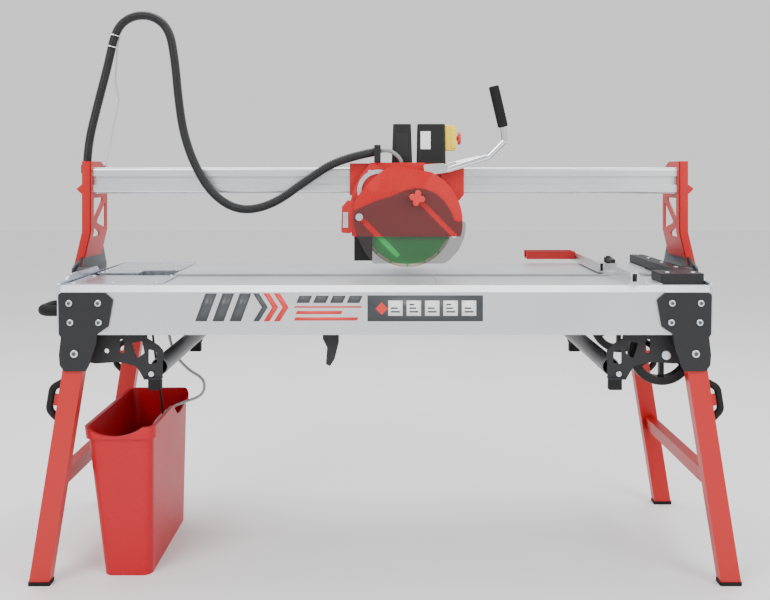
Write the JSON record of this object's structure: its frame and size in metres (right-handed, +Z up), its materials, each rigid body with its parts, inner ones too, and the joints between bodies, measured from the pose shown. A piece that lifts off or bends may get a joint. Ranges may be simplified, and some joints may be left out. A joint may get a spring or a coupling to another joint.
{
  "type": "rail tile saw",
  "caption": "Wet tile saw: an electric saw head runs along a tilting guide beam over a long table on folding legs, fed with water from a floor bucket by a pump.",
  "frame": {"origin": "on the floor, under the middle of the whole saw's bounding box", "axes": "+X along the table and the cut, the bucket end at -X; +Y from the user's side to the motor side; +Z up"},
  "size_m": [1.787, 0.71, 1.4876],
  "materials": {
    "aluminium": "brushed",
    "table_panel": "brushed",
    "black_steel": "powder coat",
    "dark_gray_steel": "powder coat",
    "red_steel": "gloss",
    "zinc": "zinc plated",
    "steel_tube": "plated",
    "black_plastic": "matte",
    "red_plastic": "gloss",
    "yellow_plastic": "gloss",
    "rubber": "matte",
    "gray_rubber": "matte",
    "clear": "clear",
    "blade_steel": "painted core",
    "motor_alu": "cast",
    "clear_tube": "soft clear"
  },
  "bodies": {
    "table": {"front_beam": "aluminium", "back_beam": "aluminium", "end_plates": "zinc", "leg_plates": "black_steel", "frame_bolts": "zinc", "front_panels": "table_panel", "back_panel": "table_panel", "cover_plates": "zinc", "fence_bases": "aluminium", "right_end_cover": "black_plastic", "table_screws": "zinc", "water_tray": "black_steel", "sled_brackets": "black_steel", "sled_tubes": "dark_gray_steel", "sled_feet": "rubber", "carry_handles": "rubber"},
    "bridge": {"left_post": "red_steel", "right_post": "red_steel", "post_feet": "dark_gray_steel", "guide_beam": "aluminium", "hose_wire": "steel_tube", "bridge_bolts": "zinc", "hose_gland": "black_plastic", "hose": "black_plastic"},
    "carriage": {"carriage_body": "red_steel", "hose_clamp": "black_plastic", "capacitor_box": "black_plastic", "switch_box": "black_plastic", "stop_cover": "yellow_plastic"},
    "saw_head": {"rear_shell": "red_steel", "front_shell": "red_steel", "motor": "motor_alu", "head_fittings": "zinc", "handle_tube": "steel_tube", "handle_grip": "rubber", "flap_bracket": "red_steel", "rubber_flap": "rubber"},
    "stop_button": {"stop_button": "red_plastic"},
    "blade": {"blade": "blade_steel", "arbor": "zinc"},
    "guard": {"clear_guard": "clear"},
    "guard_knob": {"guard_knob": "red_plastic"},
    "left_tilt_knob": {"left_tilt_knob": "black_plastic"},
    "right_tilt_knob": {"right_tilt_knob": "black_plastic"},
    "left_legs": {"left_leg_frame": "red_steel", "left_leg_feet": "rubber", "left_leg_grips": "rubber"},
    "right_legs": {"right_leg_frame": "red_steel", "right_leg_feet": "rubber", "right_leg_grips": "rubber"},
    "front_wheel": {"front_wheel": "black_plastic"},
    "rear_wheel": {"rear_wheel": "black_plastic"},
    "fence_base": {"fence_clamp_block": "aluminium"},
    "fence_bar": {"fence_slide_bar": "aluminium", "fence_stop_arm": "red_steel"},
    "fence_lever": {"fence_lever": "black_plastic"},
    "bucket": {"bucket": "red_plastic", "pump": "black_plastic", "pump_tube": "clear_tube", "pump_cable": "rubber"}
  },
  "joints": [
    {"name": "bridge_tilt", "type": "hinge", "parent": "table", "child": "bridge", "pos_m": [0, -0.095, 0.75], "axis": [1, 0, 0], "range_deg": [0, 45]},
    {"name": "left_tilt_knob_turn", "type": "hinge", "parent": "bridge", "child": "left_tilt_knob", "pos_m": [-0.87, -0.095, 0.665], "axis": [-1, 0, 0], "continuous": true},
    {"name": "right_tilt_knob_turn", "type": "hinge", "parent": "bridge", "child": "right_tilt_knob", "pos_m": [0.87, -0.095, 0.665], "axis": [1, 0, 0], "continuous": true},
    {"name": "carriage_travel", "type": "slide", "parent": "bridge", "child": "carriage", "axis": [1, 0, 0], "range_m": [-0.69, 0.54], "deforming": ["hose"]},
    {"name": "stop_button_press", "type": "slide", "parent": "carriage", "child": "stop_button", "axis": [-1, 0, 0], "range_m": [0, 0.005], "stiffness_N_per_m": 600, "springref_m": -0.002},
    {"name": "head_plunge", "type": "slide", "parent": "carriage", "child": "saw_head", "axis": [0, 0, -1], "range_m": [0, 0.03], "stiffness_N_per_m": 4000, "springref_m": -0.08},
    {"name": "blade_spin", "type": "hinge", "parent": "saw_head", "child": "blade", "pos_m": [0.062, -0.095, 0.898], "axis": [0, 1, 0], "continuous": true},
    {"name": "guard_slide", "type": "slide", "parent": "saw_head", "child": "guard", "axis": [-0.7071, 0, 0.7071], "range_m": [0, 0.14]},
    {"name": "guard_knob_turn", "type": "hinge", "parent": "saw_head", "child": "guard_knob", "pos_m": [0.0875, -0.125, 0.964], "axis": [0, 1, 0], "continuous": true},
    {"name": "left_leg_fold", "type": "hinge", "parent": "table", "child": "left_legs", "pos_m": [-0.775, -0.04, 0.582], "axis": [0, -1, 0], "range_deg": [0, 99]},
    {"name": "right_leg_fold", "type": "hinge", "parent": "table", "child": "right_legs", "pos_m": [0.775, -0.04, 0.582], "axis": [0, 1, 0], "range_deg": [0, 99]},
    {"name": "front_wheel_spin", "type": "hinge", "parent": "table", "child": "front_wheel", "pos_m": [0.715, -0.259, 0.57], "axis": [0, 1, 0], "continuous": true},
    {"name": "rear_wheel_spin", "type": "hinge", "parent": "table", "child": "rear_wheel", "pos_m": [0.715, 0.179, 0.57], "axis": [0, 1, 0], "continuous": true},
    {"name": "fence_swing", "type": "hinge", "parent": "table", "child": "fence_base", "pos_m": [0.637, -0.015, 0.76], "axis": [0, 0, 1], "range_deg": [0, 45]},
    {"name": "fence_slide", "type": "slide", "parent": "fence_base", "child": "fence_bar", "axis": [0, 1, 0], "range_m": [0, 0.12]},
    {"name": "fence_lever_turn", "type": "hinge", "parent": "fence_base", "child": "fence_lever", "pos_m": [0.637, -0.015, 0.785], "axis": [0, 0, 1], "range_deg": [0, 90]},
    {"name": "bucket_slide", "type": "slide", "parent": "table", "child": "bucket", "axis": [1, 0, 0], "range_m": [0, 0.7], "deforming": ["pump_tube", "pump_cable"]}
  ],
  "couplings": [
    {"joint": "bucket_slide", "follows": "left_leg_fold", "m_per_rad": 0.4}
  ]
}
